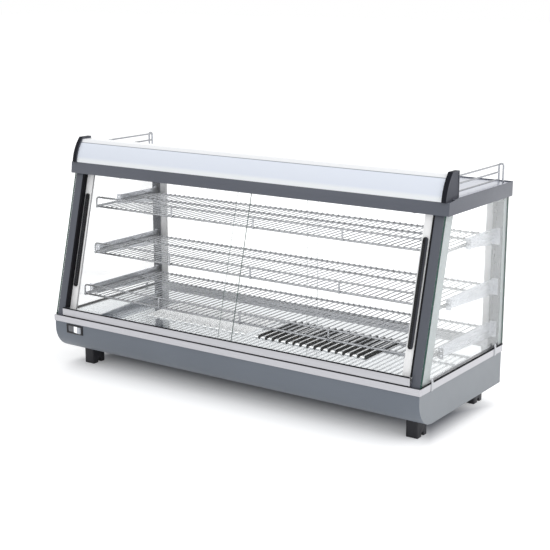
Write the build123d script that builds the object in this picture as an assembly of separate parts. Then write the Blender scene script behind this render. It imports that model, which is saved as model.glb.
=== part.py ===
from build123d import *
import os
from math import cos, radians, sin, sqrt, tan

os.makedirs("parts", exist_ok=True)

# Heated display case. Millimetres. +X to the right, +Y to the back, +Z up.
# The origin is on the counter, in the middle of the case's outline.

# base
case_width = 1200.0
case_depth = 462.0
foot_height = 52.0
body_height = 105.0
body_corner = 68.0
body_sheet = 1.2
trim_proud = 3.0
trim_sheet = 1.2
trim_skirt = 17.0
trim_corner = 2.5

# frame of the cabinet
cabinet_height = 401.5
rake = 14.0
rake_setback = 9.3
upright_width = 25.0
upright_depth = 46.0
upright_wall = 1.8
glass_thick = 5.0
glass_margin = 1.0
seal_thick = 5.5
seal_setback = 1.0
seal_rear_gap = 3.0
rear_setback = 1.5
post_width = 30.0
track_wall = 1.6

# sliding doors
door_glass = 4.0
stile_wall = 1.2
stile_width = 22.5
front_door_depth = 5.5
front_door_pitch = 11.0
slide_gap = 0.5
door_overlap = 36.0
front_track_height = 22.0
front_track_setback = 5.0
track_floor = 8.0
door_entry = 8.0
door_floor_gap = 0.5
handle_width = 13.0
handle_proud = 5.2
handle_length = 263.0
handle_bottom = 85.0
handle_rib_pitch = 4.0
handle_rib = 1.0
rear_stile_wall = 0.7
rear_stile_width = 28.0
rear_slide_gap = 0.4
rear_track_height = 12.0
rear_track_floor = 3.0
rear_door_overlap = 41.0
rear_groove = 6.5
finger_lip = 1.8

# roof
canopy_overhang = 8.5
canopy_nose = 7.4
canopy_side_height = 38.5
canopy_fascia = 32.0
canopy_lean = 4.0
canopy_sheet = 1.2
canopy_slope_run = 55.0
canopy_front_flange = 36.0
roof_recess = 3.0
roof_sheet = 1.2
roof_hem = 12.0
header_rise = 63.5
header_tilt = 6.5
header_open = 9.0
header_radius = 115.0
header_depth = 60.5
header_sheet = 1.5
cap_inset = 8.0
cap_width = 8.5
cap_proud = 5.0
cap_rise = 69.5
cap_rear_proud = 2.0
fit_gap = 0.3
ceiling_sheet = 1.0
ceiling_lap = 14.0
lamp_margin = 120.0
lamp_width = 34.0
lamp_height = 16.0
lamp_offset = 12.0

# galleries
gallery_wire = 2.5
gallery_rail = 2.3
gallery_bend = 5.0
gallery_inset = 27.5
gallery_pair = 12.0
gallery_rear_inset = 27.5
gallery_heights = (9.0, 28.0, 47.0)

# shelves, lowest first: the slot that its brackets hang in, how far it stays behind the raked
# front, and how far its brackets stop behind its front edge
shelf_slots = {"lower": 1, "middle": 7, "upper": 14}
shelf_front_gaps = {"lower": 21.9, "middle": 42.1, "upper": 21.3}
bracket_setbacks = {"lower": 42.0, "middle": 27.0, "upper": 112.0}
shelf_rear_gap = 6.0
shelf_rod = 3.0
shelf_wire = 1.5
shelf_weld = 0.6
shelf_step = 0.1
shelf_wire_end = 1.2
shelf_wire_pitch = 17.9
shelf_side_gap = 1.5
shelf_cross_rod = 85.0
rail_rise = 26.0
rail_rod = 2.5
rail_bend = 9.0
rail_end_inset = 8.0
rail_posts = 3
bracket_sheet = 1.2
bracket_rise = 14.0
bracket_front_height = 28.0
bracket_rear_height = 44.0
bracket_ledge = 18.0
bracket_plate = 14.0
bracket_hem = 7.0
bracket_hole = 2.5
bracket_hole_places = (0.3, 0.7)
bracket_inset = 21.0
hook_width = 10.0
hook_reach = 4.0
hook_gap = 0.5
hook_drop = 26.0
slot_first = 6.7
slot_pitch = 19.3
slot_count = 20

# floor
floor_sheet = 1.0
floor_lap = 22.0
floor_gap = 1.5
trim_ledge_front = 18.0
trim_ledge_rear = 32.0
trim_ledge_side = 40.0
louvre_pitch = 22.3
louvre_first = 14.0
louvre_side_margin = 197.0
louvre_front_margin = 65.0
louvre_rear_margin = 100.0
louvre_width = 14.0
louvre_height = 7.0
louvre_skin = 0.8
louvre_nose = 9.0
louvre_fullness = 0.7
louvre_lead = 0.4
louvre_nose_lead = 0.3

# heaters
cover_sheet = 1.0
cover_lap = 12.0
cover_side_margin = 107.0
cover_front_margin = 81.0
cover_rear_margin = 34.0
vent_pitch = 60.0
vent_side_margin = 60.0
vent_length = 40.0
vent_width = 5.0
tray_sheet = 0.8
tray_clear = 56.8
tray_side_margin = 127.0
tray_front_margin = 97.0
tray_rear_margin = 54.0
element_radius = 4.0
element_level = 26.0
element_inner = 40.0
element_end_margin = 40.0
element_front_margin = 75.0
element_rear_margin = 110.0
element_bend = 22.0
element_collar = 8.0
element_collar_height = 4.0
element_tail = 14.0
hole_gap = 0.3

# feet
foot_width = 33.0
foot_length = 50.0
foot_side_inset = 58.0
foot_front_inset = 98.0
foot_rear_inset = 44.0
foot_arch_height = 11.0
foot_arch_width = 11.0
foot_arch_centre = 27.5
foot_taper = 2.0
screw_radius = 2.5
screw_head = 5.0
screw_head_height = 3.5
screw_depth = 20.0

# side glass clips and gaskets
gasket_floor = 1.5
gasket_lip = 1.0
gasket_height = 4.0
clip_sheet = 1.2
clip_width = 10.0
clip_rise = 13.0
clip_front_inset = 60.0
clip_rear_inset = 49.0

# rocker switches
bezel_width = 62.0
bezel_height = 27.0
bezel_thick = 2.5
switch_inset = 76.0
switch_drop = 34.0
switch_body_width = 57.0
switch_body_height = 22.5
switch_body_depth = 26.0
rocker_half = 24.6
rocker_height = 18.0
rocker_tilt = 6.0
rocker_recess = 1.0
rocker_side_gap = 0.35
rocker_end_gap = 1.4
rocker_thick = 5.0
rocker_pivot = 6.0
rocker_pin = 1.5
rocker_pin_gap = 0.06
rocker_pin_reach = 1.2
well_depth = 13.0

# rear controls
plate_length = 290.0
plate_side_inset = 45.0
plate_low_gap = 10.0
plate_high_gap = 6.0
plate_sheet = 1.2
plate_lap = 12.0
thermostat_inset = 222.0
thermostat_size = 44.0
thermostat_depth = 34.0
knob_radius = 20.0
knob_height = 16.0
knob_gap = 0.5
knob_shaft = 3.0
knob_shaft_reach = 20.0
knob_shaft_gap = 0.06
knob_grip_width = 9.0
knob_skirt = 4.0
heat_switch_inset = 127.0
gland_inset = 42.0
gland_radius = 11.0
gland_bore = 4.0
gland_thread = 8.0
gland_out = 14.0
gland_in = 9.0

# levels and planes that follow from the sizes
deck_z = foot_height + body_height
canopy_z = deck_z + cabinet_height
body_half = case_width / 2 - trim_proud
rocker_rise = rocker_half * tan(radians(rocker_tilt))
rocker_swing = rocker_half * sin(radians(rocker_tilt))
rocker_tip = rocker_swing + (rocker_pivot + rocker_rise) * cos(radians(rocker_tilt))
rocker_reach = rocker_tip - rocker_pivot + bezel_thick - rocker_recess
front_reach = max(rocker_reach - trim_proud, 0)
rear_reach = case_depth - trim_proud + plate_sheet + knob_gap + knob_height
y_front = (front_reach - rear_reach) / 2
body_front = y_front + trim_proud
body_rear = y_front + case_depth - trim_proud
frame_rear = y_front + case_depth - rear_setback
stile_thick = door_glass + 2 * stile_wall
rear_stile_thick = door_glass + 2 * rear_stile_wall
rear_channel = rear_stile_thick + 2 * rear_slide_gap
rear_depth = 2 * rear_channel + 3 * track_wall
frame_back = frame_rear - rear_depth
glass_outer = case_width / 2 - glass_margin
glass_inner = glass_outer - glass_thick
upright_inner = glass_inner - upright_width
post_inner = glass_inner - post_width
door_edge = upright_inner - seal_thick - slide_gap
rear_track_half = post_inner + rear_groove
rear_door_edge = rear_track_half - 2 * slide_gap
web_x = glass_inner - bracket_inset
shelf_half = web_x - shelf_side_gap
trim_opening_half = case_width / 2 - trim_ledge_side
trim_opening_front = rake_setback + upright_depth / cos(radians(rake)) + trim_ledge_front
trim_opening_rear = case_depth - trim_ledge_rear
louvre_front = trim_opening_front + louvre_front_margin
louvre_length = trim_opening_rear - louvre_rear_margin - louvre_front
louvre_count = int((body_half - louvre_side_margin - louvre_first - louvre_width) / louvre_pitch)
cover_half = body_half - cover_side_margin
vent_count = int(2 * (cover_half - vent_side_margin) / vent_pitch)
tray_half = body_half - tray_side_margin
tray_front = body_front + tray_front_margin
tray_rear = body_rear - tray_rear_margin
tray_top = deck_z - tray_clear
foot_x = body_half - foot_side_inset
foot_front_y = body_front + foot_front_inset
foot_rear_y = body_rear - foot_rear_inset
switch_x = switch_inset - body_half
plate_right = body_half - plate_side_inset
plate_left = plate_right - plate_length
plate_low = foot_height + plate_low_gap
plate_high = deck_z - trim_skirt - plate_high_gap
plate_mid = (plate_low + plate_high) / 2
thermostat_x = plate_right - thermostat_inset
heat_switch_x = plate_right - heat_switch_inset
gland_x = plate_right - gland_inset
canopy_half_width = case_width / 2 + canopy_overhang
canopy_front = rake_setback + cabinet_height * tan(radians(rake)) - canopy_nose
header_rear = canopy_front + canopy_lean + header_depth
gallery_inner = canopy_half_width - gallery_inset
gallery_outer = gallery_inner + gallery_pair
lamp_half = case_width / 2 - lamp_margin
fascia_top = canopy_z + canopy_fascia
side_top = canopy_z + canopy_side_height
roof_top = side_top - roof_recess


def block(x0, x1, y0, y1, z0, z1):
    centre = Pos((x0 + x1) / 2, (y0 + y1) / 2, (z0 + z1) / 2)
    return centre * Box(x1 - x0, y1 - y0, z1 - z0)


def prism_x(outline, x0, x1):
    # an outline of (y, z) points, or a face drawn in the YZ plane, stretched along X
    face = outline
    if isinstance(outline, (list, tuple)):
        face = Plane.YZ * Polygon(*outline, align=None)
    return Pos(x0, 0, 0) * extrude(face, amount=x1 - x0, dir=(1, 0, 0))


def rod(start, end, radius):
    # a lying rod has the seam of its round face underneath, where no other rod meets it
    start = Vector(*start)
    run = Vector(*end) - start
    seam = (1, 0, 0) if abs(run.Z) > 0 else (0, 0, -1)
    bar = Cylinder(radius, run.length, align=(Align.CENTER, Align.CENTER, Align.MIN))
    return Plane(origin=start, x_dir=seam, z_dir=run.normalized()).location * bar


def fuse(shapes):
    first, *rest = shapes
    return first.fuse(*rest) if rest else first


def cut(shape, tools):
    return shape.cut(*tools)


def mirrored(shape):
    return mirror(shape, about=Plane.YZ)


def rake_y(z, depth=0.0):
    # the raked front at height z, depth measured square to the slope
    return y_front + rake_setback + (z - deck_z) * tan(radians(rake)) + depth / cos(radians(rake))


def raked_cell(z0, z1, d0, d1):
    return [(rake_y(z0, d0), z0), (rake_y(z0, d1), z0), (rake_y(z1, d1), z1), (rake_y(z1, d0), z1)]


def raked(x0, x1, z0, z1, d0, d1):
    return prism_x(raked_cell(z0, z1, d0, d1), x0, x1)


# base: painted body, trim, floor, bottom cover

def body_section(inset):
    low = foot_height + inset
    high = deck_z - trim_sheet if inset == 0 else deck_z + body_sheet
    front = body_front + inset
    rear = body_rear - inset
    radius = body_corner - inset
    middle = radius * (1 - sqrt(0.5))
    edges = [
        Line((rear, high), (rear, low)),
        Line((rear, low), (front + radius, low)),
        ThreePointArc((front + radius, low), (front + middle, low + middle), (front, low + radius)),
        Line((front, low + radius), (front, high)),
        Line((front, high), (rear, high)),
    ]
    return Plane.YZ * make_face(edges)


def switch_place(x, side):
    # a switch faces the front (side -1) or the rear (side 1) of the body
    if side < 0:
        return Pos(x, body_front, deck_z - switch_drop)
    return Pos(x, body_rear + plate_sheet, plate_mid) * Rot(0, 0, 180)


def make_base_body():
    shell = prism_x(body_section(0), -body_half, body_half)
    hollow = prism_x(body_section(body_sheet), body_sheet - body_half, body_half - body_sheet)
    hatch = block(-cover_half, cover_half, body_front + cover_front_margin, body_rear - cover_rear_margin,
                  foot_height - 1, foot_height + 2 * body_sheet)
    window = block(plate_left + plate_lap, plate_right - plate_lap, body_rear - 2 * body_sheet,
                   body_rear + body_sheet, plate_low + plate_lap, plate_high - plate_lap)
    switch_hole = switch_place(switch_x, -1) * Box(
        switch_body_width + 2 * hole_gap, 4 * body_sheet, switch_body_height + 2 * hole_gap)
    holes = [Pos(x, y, foot_height) * Cylinder(screw_radius + hole_gap, 4 * body_sheet)
             for x, y in foot_places()]
    return cut(shell, [hollow, hatch, window, switch_hole] + holes)


def make_base_trim():
    half = case_width / 2
    rear = y_front + case_depth
    ring = block(-half, half, y_front, rear, deck_z - trim_skirt, deck_z)
    ring = fillet(ring.edges().filter_by(Axis.Z), trim_corner)
    under = block(trim_sheet - half, half - trim_sheet, y_front + trim_sheet, rear - trim_sheet,
                  deck_z - trim_skirt - 1, deck_z - trim_sheet)
    opening = block(-trim_opening_half, trim_opening_half, y_front + trim_opening_front,
                    y_front + trim_opening_rear, deck_z - trim_skirt, deck_z + 1)
    return cut(ring, [under, opening])


def louvre(inset, low):
    # a pressed hood: a ramp from its closed side up to its open side, with rounded ends
    z0 = deck_z + floor_sheet
    top = louvre_height - inset
    start = y_front + louvre_front + inset
    end = start + louvre_length - 2 * inset
    far = louvre_width + inset
    ramp = make_face([
        Line((inset, low), (far, low)),
        Line((far, low), (far, z0 + top)),
        ThreePointArc((far, z0 + top), (inset + louvre_width * louvre_lead, z0 + top * louvre_fullness),
                      (inset, z0)),
        Line((inset, z0), (inset, low)),
    ])
    ramp = extrude(Plane.XZ * ramp, amount=case_depth, both=True)
    rise = louvre_nose * louvre_nose_lead
    shoulder = z0 + top * louvre_fullness
    ends = Plane.YZ * make_face([
        Line((start, low), (end, low)),
        Line((end, low), (end, z0)),
        ThreePointArc((end, z0), (end - rise, shoulder), (end - louvre_nose, z0 + top)),
        Line((end - louvre_nose, z0 + top), (start + louvre_nose, z0 + top)),
        ThreePointArc((start + louvre_nose, z0 + top), (start + rise, shoulder), (start, z0)),
        Line((start, z0), (start, low)),
    ])
    return ramp & extrude(ends, amount=2 * case_width, both=True)


def make_deck_plate():
    half = trim_opening_half + floor_lap
    front = rake_y(deck_z, upright_depth) + floor_gap
    plate = block(-half, half, front, frame_back - floor_gap, deck_z, deck_z + floor_sheet)
    hood = louvre(0, deck_z)
    pocket = louvre(louvre_skin, deck_z - 1)
    hoods = []
    pockets = []
    for i in range(louvre_count):
        shift = Pos(louvre_first + i * louvre_pitch, 0, 0)
        hoods += [shift * hood, mirrored(shift * hood)]
        pockets += [shift * pocket, mirrored(shift * pocket)]
    return cut(fuse([plate] + hoods), pockets)


def make_bottom_cover():
    low = foot_height + body_sheet
    half = cover_half + cover_lap
    front = body_front + cover_front_margin - cover_lap
    rear = body_rear - cover_rear_margin + cover_lap
    plate = block(-half, half, front, rear, low, low + cover_sheet)
    slots = []
    for i in range(vent_count):
        x = (i - (vent_count - 1) / 2) * vent_pitch
        for y in (front + vent_length, rear - vent_length):
            slots.append(Pos(x, y, low) * extrude(
                Rot(0, 0, 90) * SlotOverall(vent_length, vent_width), amount=3, both=True))
    return cut(plate, slots)


# heaters

def element_route():
    low = tray_top - element_tail
    level = tray_top + element_level
    front = tray_front + element_front_margin
    rear = tray_rear - element_rear_margin
    outer = tray_half - element_end_margin
    return [(element_inner, front, low), (element_inner, front, level), (outer, front, level),
            (outer, rear, level), (element_inner, rear, level), (element_inner, rear, low)]


def make_heat_tray():
    low = foot_height + body_sheet + cover_sheet
    pan = block(-tray_half, tray_half, tray_front, tray_rear, low, tray_top)
    under = block(-tray_half - 1, tray_half + 1, tray_front + tray_sheet, tray_rear - tray_sheet,
                  low - 1, tray_top - tray_sheet)
    ends = [element_route()[0], element_route()[-1]]
    holes = [Pos(side * x, y, tray_top) * Cylinder(element_radius + hole_gap, 4 * tray_sheet)
             for x, y, z in ends for side in (-1, 1)]
    return cut(pan, [under] + holes)


def make_element():
    route = element_route()
    path = FilletPolyline(*route, radius=element_bend)
    tube = sweep(Plane(origin=route[0], z_dir=(0, 0, 1)) * Circle(element_radius), path=path)
    collars = []
    for x, y, z in (route[0], route[-1]):
        collars.append(Pos(x, y, tray_top + element_collar_height / 2)
                       * Cylinder(element_collar, element_collar_height))
    return fuse([tube] + collars)


# feet

def foot_places():
    return [(x, y) for x in (-foot_x, foot_x) for y in (foot_front_y, foot_rear_y)]


def make_foot(x, y):
    start = y - foot_length / 2
    end = y + foot_length / 2
    arch = start + foot_arch_centre
    half = foot_arch_width / 2
    outline = [
        (start, foot_height), (start, foot_arch_height), (start + foot_taper, 0),
        (arch - half - 1, 0), (arch - half, foot_arch_height), (arch + half, foot_arch_height),
        (arch + half + 1, 0), (end - foot_taper, 0), (end, foot_arch_height), (end, foot_height),
    ]
    blank = prism_x(outline, x - foot_width / 2, x + foot_width / 2)
    edges = blank.edges().filter_by(Axis.Z).group_by(Axis.X)
    blank = chamfer(edges[0] + edges[-1], foot_taper)
    hole = Pos(x, y, foot_height - screw_depth / 2) * Cylinder(screw_radius + hole_gap / 3, screw_depth)
    return cut(blank, [hole])


def make_foot_screws():
    screws = []
    low = foot_height - screw_depth + 1
    for x, y in foot_places():
        seat = foot_height + body_sheet
        shank = rod((x, y, low), (x, y, seat), screw_radius)
        head = rod((x, y, seat), (x, y, seat + screw_head_height), screw_head)
        screws.append(fuse([shank, head]))
    return screws


# front uprights, seals and tracks

def make_front_upright():
    outer = raked(upright_inner, glass_inner, deck_z, canopy_z, 0, upright_depth)
    bore = raked(upright_inner + upright_wall, glass_inner - upright_wall, deck_z - 1, canopy_z + 1,
                 upright_wall, upright_depth - upright_wall)
    return cut(outer, [bore])


def front_channel(number):
    # depths between which a front door slides: 0 is the outer door, 1 the inner one
    middle = front_door_depth + door_glass / 2 + number * front_door_pitch
    half = stile_thick / 2 + slide_gap
    return middle - half, middle + half


def make_upright_seal():
    low = deck_z + front_track_height
    return raked(upright_inner - seal_thick, upright_inner, low, canopy_z, seal_setback,
                 upright_depth - seal_rear_gap)


def make_front_lower_track():
    top = deck_z + front_track_height
    floor = deck_z + track_floor
    front = y_front + front_track_setback
    outline = [(front, deck_z), (rake_y(deck_z, upright_depth), deck_z),
               (rake_y(top, upright_depth), top), (front, top)]
    low = deck_z + track_wall
    high = top - track_wall
    a0, a1 = front_channel(0)
    b0, b1 = front_channel(1)
    cells = [
        raked_cell(floor, top + 1, a0, a1),
        raked_cell(floor, top + 1, b0, b1),
        [(front + track_wall, low), (rake_y(low, a0 - track_wall), low),
         (rake_y(high, a0 - track_wall), high), (front + track_wall, high)],
        raked_cell(low, high, b1 + track_wall, upright_depth - track_wall),
    ]
    bar = prism_x(outline, -upright_inner, upright_inner)
    return cut(bar, [prism_x(cell, -upright_inner - 1, upright_inner + 1) for cell in cells])


def make_front_upper_track():
    top = fascia_top - canopy_sheet
    ceiling = canopy_z + door_entry + front_track_height - track_floor + 1
    bar = raked(-upright_inner, upright_inner, canopy_z, top, 0, upright_depth)
    a0, a1 = front_channel(0)
    b0, b1 = front_channel(1)
    low = canopy_z + track_wall
    high = top - track_wall
    cells = [
        raked_cell(canopy_z - 1, ceiling, a0, a1),
        raked_cell(canopy_z - 1, ceiling, b0, b1),
        raked_cell(low, high, b1 + track_wall, upright_depth - track_wall),
    ]
    return cut(bar, [prism_x(cell, -upright_inner - 1, upright_inner + 1) for cell in cells])


# front doors: number 0 is the right, outer door and 1 the left, inner one

def front_door_span(number):
    low = deck_z + track_floor + door_floor_gap
    high = canopy_z + door_entry
    d0 = front_door_depth + number * front_door_pitch
    return low, high, d0


def make_front_door_glass(number):
    low, high, d0 = front_door_span(number)
    side = 1 if number == 0 else -1
    outer = side * (door_edge - stile_wall)
    inner = -side * door_overlap / 2
    return raked(min(outer, inner), max(outer, inner), low, high, d0, d0 + door_glass)


def make_front_door_stile(number):
    low, high, d0 = front_door_span(number)
    bar = raked(door_edge - stile_width, door_edge, low, high, d0 - stile_wall, d0 + door_glass + stile_wall)
    slot = raked(door_edge - stile_width - 1, door_edge - stile_wall, low - 1, high + 1, d0, d0 + door_glass)
    stile = cut(bar, [slot])
    return stile if number == 0 else mirrored(stile)


def make_front_door_handle(number):
    low, high, d0 = front_door_span(number)
    rear = d0 - stile_wall
    middle = door_edge - stile_width / 2
    run = handle_length / cos(radians(rake))
    start = handle_bottom / cos(radians(rake))
    slope = Plane(origin=(0, rake_y(deck_z), deck_z), x_dir=(1, 0, 0),
                  z_dir=(0, -cos(radians(rake)), sin(radians(rake))))
    outline = Pos(middle, start + run / 2) * Rot(0, 0, 90) * SlotOverall(run, handle_width)
    grip = Pos(0, 0, -rear) * extrude(outline, amount=handle_proud)
    grip = chamfer(grip.faces().sort_by(Axis.Z)[-1].edges(), handle_proud / 4)
    grooves = []
    count = int((run - handle_width) / handle_rib_pitch)
    for i in range(count + 1):
        height = start + run / 2 + (i - count / 2) * handle_rib_pitch
        grooves.append(Pos(middle, height, handle_proud - rear)
                       * Box(handle_width - 4 * handle_rib, handle_rib_pitch / 2, 2 * handle_rib))
    handle = slope.location * cut(grip, grooves)
    return handle if number == 0 else mirrored(handle)


# rear posts, tracks and doors

def rear_channels():
    # the rear doors slide between these Y values: the left door's first, then the right door's
    first = frame_back + track_wall
    second = first + rear_channel + track_wall
    return [(first, first + rear_channel), (second, second + rear_channel)]


def make_rear_post():
    post = block(post_inner, glass_inner, frame_back, frame_rear, deck_z, canopy_z)
    tools = [block(post_inner - 1, post_inner + rear_groove, y0, y1, deck_z - 1, canopy_z + 1)
             for y0, y1 in rear_channels()]
    tools.append(block(post_inner + rear_groove + track_wall, glass_inner - track_wall,
                       frame_back + track_wall, frame_rear - track_wall, deck_z - 1, canopy_z + 1))
    for i in range(slot_count):
        z = slot_level(i)
        tools.append(block(web_x - hook_gap, web_x + bracket_sheet + hook_gap, frame_back - 1,
                           frame_back + 1.5 * track_wall, z - hook_gap, z + hook_width + hook_gap))
    return cut(post, tools)


def slot_level(number):
    # the bracket hooks go into a row of slots, counted from the bottom
    return deck_z + slot_first + number * slot_pitch


def make_rear_track(low, high, open_low, open_high, half):
    bar = block(-half, half, frame_back, frame_rear, low, high)
    return cut(bar, [block(-half - 1, half + 1, y0, y1, open_low, open_high) for y0, y1 in rear_channels()])


def rear_door_span(number):
    low = deck_z + rear_track_floor + door_floor_gap
    high = canopy_z + door_entry
    y0 = rear_channels()[number][0] + rear_slide_gap + rear_stile_wall
    return low, high, y0


def make_rear_door_glass(number):
    low, high, y0 = rear_door_span(number)
    side = -1 if number == 0 else 1
    outer = side * (rear_door_edge - rear_stile_wall)
    inner = -side * rear_door_overlap / 2
    return block(min(outer, inner), max(outer, inner), y0, y0 + door_glass, low, high)


def make_rear_door_stile(number):
    low, high, y0 = rear_door_span(number)
    y1 = y0 + door_glass
    inner = rear_door_edge - rear_stile_width
    bar = block(inner, rear_door_edge, y0 - rear_stile_wall, y1 + rear_stile_wall, low, high)
    slot = block(inner - 1, rear_door_edge - rear_stile_wall, y0, y1, low - 1, high + 1)
    lip_low = deck_z + handle_bottom
    lip = block(inner, inner + 2 * finger_lip, y1 + rear_stile_wall, y1 + rear_stile_wall + finger_lip,
                lip_low, lip_low + handle_length)
    stile = fuse([cut(bar, [slot]), lip])
    return stile if number == 1 else mirrored(stile)


# side glass, gaskets and clips

def make_side_glass():
    low = deck_z + gasket_floor
    outline = [(rake_y(low), low), (frame_rear, low), (frame_rear, canopy_z), (rake_y(canopy_z), canopy_z)]
    return prism_x(outline, glass_inner, glass_outer)


def make_gasket():
    front = rake_y(deck_z) + glass_margin
    bed = block(glass_inner, glass_outer + gasket_lip, front, frame_rear, deck_z, deck_z + gasket_height)
    slot = block(glass_inner - 1, glass_outer, front - 1, frame_rear + 1,
                 deck_z + gasket_floor, deck_z + gasket_height + 1)
    return cut(bed, [slot])


def make_clip(y):
    half = clip_width / 2
    edge = case_width / 2
    lip = glass_outer + gasket_lip
    bottom = deck_z - trim_skirt
    top = deck_z + gasket_height
    legs = [
        (edge - trim_sheet, edge + clip_sheet, bottom - clip_sheet, bottom),
        (edge, edge + clip_sheet, bottom - clip_sheet, deck_z + clip_sheet),
        (lip, edge + clip_sheet, deck_z, deck_z + clip_sheet),
        (lip, lip + clip_sheet, deck_z, top + clip_sheet),
        (glass_outer, lip + clip_sheet, top, top + clip_sheet),
        (glass_outer, glass_outer + clip_sheet, top, deck_z + clip_rise),
    ]
    return fuse([block(x0, x1, y - half, y + half, z0, z1) for x0, x1, z0, z1 in legs])


# shelves, rails and brackets

def shelf_place(level):
    top = slot_level(shelf_slots[level]) + hook_drop
    rod_z = top - 2 * shelf_wire + shelf_weld - shelf_rod
    front = rake_y(top + rail_rise, upright_depth) + shelf_front_gaps[level]
    rear = frame_back - shelf_rear_gap
    return top, rod_z, front, rear


def make_shelf(level):
    top, rod_z, front, rear = shelf_place(level)
    y0 = front + shelf_rod
    y1 = rear - shelf_rod
    side = shelf_half - shelf_rod
    wire_z = top - shelf_wire
    bars = []
    for y in (y0, y1):
        bars.append(rod((-shelf_half, y, rod_z), (shelf_half, y, rod_z), shelf_rod))
    middle = y1 - shelf_cross_rod
    bars.append(rod((-side, middle, rod_z), (side, middle, rod_z), shelf_rod - shelf_step))
    for x in (-side, side):
        bars.append(rod((x, y0, rod_z), (x, y1, rod_z), shelf_rod - 2 * shelf_step))
    count = round(2 * (side - shelf_rod) / shelf_wire_pitch) + 1
    pitch = 2 * (side - shelf_rod) / (count - 1)
    for i in range(count):
        x = shelf_rod - side + i * pitch
        bars.append(rod((x, y0 - shelf_wire_end, wire_z), (x, y1 + shelf_wire_end, wire_z), shelf_wire))
    return fuse(bars)


def make_shelf_rail(level):
    top, rod_z, front, rear = shelf_place(level)
    y = front - rail_rod - shelf_weld / 6
    half = shelf_half - rail_end_inset
    low = rod_z - shelf_rod
    high = top + rail_rise - rail_rod
    route = [(-half, y, low), (-half, y, high), (half, y, high), (half, y, low)]
    path = FilletPolyline(*route, radius=rail_bend)
    rail = sweep(Plane(origin=(-half, y, low), z_dir=(0, 0, 1)) * Circle(rail_rod), path=path)
    spacing = 2 * half / (rail_posts + 1)
    posts = [rod((i * spacing - half, y, low), (i * spacing - half, y, high), rail_rod)
             for i in range(1, rail_posts + 1)]
    return fuse([rail] + posts)


def make_bracket(level):
    top, rod_z, front, rear = shelf_place(level)
    high = top + bracket_rise
    y0 = front + bracket_setbacks[level]
    y1 = frame_back
    x0 = web_x
    x1 = web_x + bracket_sheet
    low_front = high - bracket_front_height
    low_rear = high - bracket_rear_height
    web = prism_x([(y0, low_front), (y1, low_rear), (y1, high), (y0, high)], x0, x1)
    hem = block(x0 - bracket_sheet, x0, y0, y1, high - bracket_hem, high)
    shelf_low = rod_z - shelf_rod
    ledge = block(x0 - bracket_ledge, x0, y0, y1, shelf_low - bracket_sheet, shelf_low)
    front_plate = block(x0, x0 + bracket_plate, y0, y0 + bracket_sheet, low_front, high)
    rear_plate = block(x0, x0 + bracket_plate, y1 - bracket_sheet, y1, low_rear, high)
    hooks = []
    for number in (shelf_slots[level], shelf_slots[level] + 1):
        z = slot_level(number)
        hooks.append(block(x0, x1, y1, y1 + hook_reach, z, z + hook_width))
    bracket = fuse([web, hem, ledge, front_plate, rear_plate] + hooks)
    middle = x0 + bracket_plate / 2 + bracket_sheet / 2
    holes = []
    for share in bracket_hole_places:
        z = high - bracket_front_height * share
        holes.append(rod((middle, y0 - 1, z), (middle, y0 + 2 * bracket_sheet, z), bracket_hole))
    return cut(bracket, holes)


# roof

def fascia_y(z, depth=0.0):
    # the fascia leans back a little; depth measured level from its face
    return y_front + canopy_front + (z - canopy_z) * canopy_lean / canopy_fascia + depth


def make_canopy_frame():
    half = canopy_half_width
    rear = frame_rear + canopy_sheet
    slope_end = y_front + canopy_front + canopy_slope_run
    flange_end = y_front + canopy_front + canopy_front_flange
    side_outline = [(fascia_y(canopy_z), canopy_z), (rear, canopy_z), (rear, side_top), (slope_end, side_top),
                    (fascia_y(fascia_top, canopy_sheet), fascia_top), (fascia_y(fascia_top), fascia_top)]
    block_out = prism_x(side_outline, -half, half)
    floor = canopy_z + canopy_sheet
    over = side_top + 1
    inside = prism_x([(fascia_y(floor, canopy_sheet), floor), (frame_rear, floor), (frame_rear, over),
                      (fascia_y(over, canopy_sheet), over)], canopy_sheet - half, half - canopy_sheet)
    window = block(-upright_inner, upright_inner, rake_y(canopy_z), frame_rear,
                   canopy_z - 1, canopy_z + 2 * canopy_sheet)
    rear_window = block(-rear_track_half, rear_track_half, frame_back, frame_rear,
                        canopy_z - 1, canopy_z + 2 * canopy_sheet)
    under_lip = fascia_top - canopy_sheet
    lip = prism_x([(fascia_y(under_lip), under_lip), (flange_end, under_lip), (flange_end, fascia_top),
                   (fascia_y(fascia_top), fascia_top)], canopy_sheet - half, half - canopy_sheet)
    return fuse([cut(block_out, [inside, window, rear_window]), lip])


def make_roof_panel():
    half = canopy_half_width - canopy_sheet
    front = y_front + canopy_front + canopy_front_flange
    panel = block(-half, half, front, frame_rear, roof_top - roof_hem, roof_top)
    under = block(roof_sheet - half, half - roof_sheet, front - 1, frame_rear - roof_sheet,
                  roof_top - roof_hem - 1, roof_top - roof_sheet)
    return cut(panel, [under])


def header_section(inset, low_front, low_rear, rise, rear):
    # a shallow arc that starts with a small tilt above the fascia and leans back to the top
    step = y_front + canopy_front + canopy_front_flange - fit_gap
    radius = header_radius - inset
    centre_y = fascia_y(fascia_top) + header_radius * cos(radians(header_tilt))
    centre_z = fascia_top - header_radius * sin(radians(header_tilt))

    def on_arc(z):
        return centre_y - sqrt(radius ** 2 - (z - centre_z) ** 2), z

    top = fascia_top + rise
    edges = [
        ThreePointArc(on_arc(low_front), on_arc((low_front + top) / 2), on_arc(top)),
        Line(on_arc(top), (rear, top)),
        Line((rear, top), (rear, low_rear)),
        Line((rear, low_rear), (step, low_rear)),
        Line((step, low_rear), (step, low_front)),
        Line((step, low_front), on_arc(low_front)),
    ]
    return Plane.YZ * make_face(edges)


def cap_inner():
    return canopy_half_width - cap_inset - cap_width


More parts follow.
